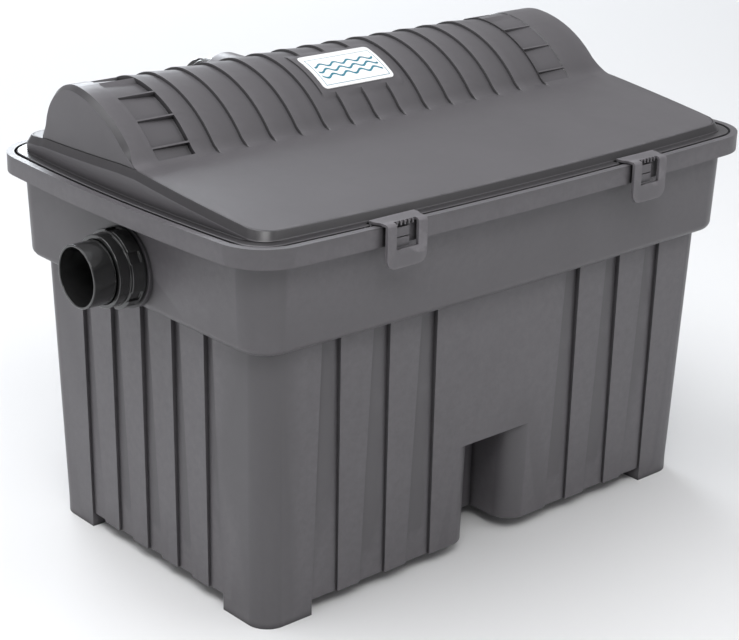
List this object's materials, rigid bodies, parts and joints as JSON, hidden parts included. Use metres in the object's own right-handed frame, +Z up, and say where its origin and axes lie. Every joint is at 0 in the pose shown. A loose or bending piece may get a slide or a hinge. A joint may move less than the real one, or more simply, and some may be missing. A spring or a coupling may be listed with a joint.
{
  "type": "pond filter box",
  "caption": "Rectangular flow-through pond filter: ribbed tank, hinged lid with barrel hump, two clips, side outlet pipe, rear inlet, foam and ball media.",
  "frame": {"origin": "on the ground under the middle of the whole object's footprint, the outlet pipe included; the tank's own middle plane is 13.25 mm towards +X", "axes": "+X along the long side, away from the outlet pipe; +Y towards the hinges; +Z up; the clips are at -Y"},
  "size_m": [0.5874, 0.3724, 0.3904],
  "materials": {
    "tank_plastic": "fine moulded grain, slight sheen",
    "lid_plastic": "fine moulded grain, slight sheen",
    "pipe_plastic": "smooth black",
    "seal_rubber": "matt black rubber",
    "pin_steel": "drawn stainless wire",
    "inner_plastic": "plain moulded",
    "foam_blue": "open-cell foam, coarse",
    "foam_green": "open-cell foam, medium",
    "foam_grey": "open-cell foam, fine",
    "ball_plastic": "moulded, dark",
    "label_white": "smooth printed film"
  },
  "bodies": {
    "tank": {"tank": "tank_plastic", "outlet_spigot": "pipe_plastic", "outlet_gasket": "seal_rubber", "divider_plate": "inner_plastic", "support_grid_left": "inner_plastic", "support_grid_right": "inner_plastic", "grid_feet": "inner_plastic", "foam_coarse": "foam_blue", "foam_medium": "foam_green", "foam_fine": "foam_grey", "bio_balls": "ball_plastic", "drain_fitting": "pipe_plastic", "drain_gasket": "seal_rubber", "drain_locknut": "pipe_plastic", "hinge_pin_left": "pin_steel", "hinge_pin_right": "pin_steel"},
    "lid": {"lid": "lid_plastic", "lid_gasket": "seal_rubber", "label": "label_white", "clip_pin_left": "pin_steel", "clip_pin_right": "pin_steel", "spray_bar": "pipe_plastic", "spray_bar_cap_left": "pipe_plastic", "spray_bar_cap_right": "pipe_plastic", "spray_bar_bracket_left": "pipe_plastic", "spray_bar_bracket_right": "pipe_plastic", "bracket_screws": "pin_steel", "inlet_gasket": "seal_rubber", "inlet_hose_tail": "pipe_plastic"},
    "clip_left": {"clip_left": "lid_plastic"},
    "clip_right": {"clip_right": "lid_plastic"},
    "outlet_nut": {"outlet_union_nut": "pipe_plastic"},
    "inlet_nut": {"inlet_union_nut": "pipe_plastic"},
    "drain_cap_seal": {"drain_cap_seal": "seal_rubber"},
    "drain_cap": {"drain_cap": "pipe_plastic"}
  },
  "joints": [
    {"name": "lid_hinge", "type": "hinge", "parent": "tank", "child": "lid", "pos_m": [0.01325, 0.1822, 0.328], "axis": [-1, 0, 0], "range_deg": [0, 100]},
    {"name": "clip_left_hinge", "type": "hinge", "parent": "lid", "child": "clip_left", "pos_m": [-0.12875, -0.169, 0.321], "axis": [-1, 0, 0], "range_deg": [0, 90]},
    {"name": "clip_right_hinge", "type": "hinge", "parent": "lid", "child": "clip_right", "pos_m": [0.13825, -0.169, 0.321], "axis": [-1, 0, 0], "range_deg": [0, 90]},
    {"name": "outlet_nut_turn", "type": "hinge", "parent": "tank", "child": "outlet_nut", "pos_m": [-0.26175, 0, 0.266], "axis": [-1, 0, 0], "range_deg": [0, 90]},
    {"name": "inlet_nut_turn", "type": "hinge", "parent": "lid", "child": "inlet_nut", "pos_m": [-0.05675, 0.139, 0.3535], "axis": [0, 1, 0], "range_deg": [0, 90]},
    {"name": "drain_cap_travel", "type": "slide", "parent": "tank", "child": "drain_cap_seal", "axis": [1, 0, 0], "range_m": [0, 0.006]},
    {"name": "drain_cap_turn", "type": "hinge", "parent": "drain_cap_seal", "child": "drain_cap", "pos_m": [0.27825, 0, 0.042], "axis": [1, 0, 0], "range_deg": [0, 720]}
  ],
  "couplings": [
    {"joint": "drain_cap_travel", "follows": "drain_cap_turn", "m_per_rad": 0.000477}
  ]
}
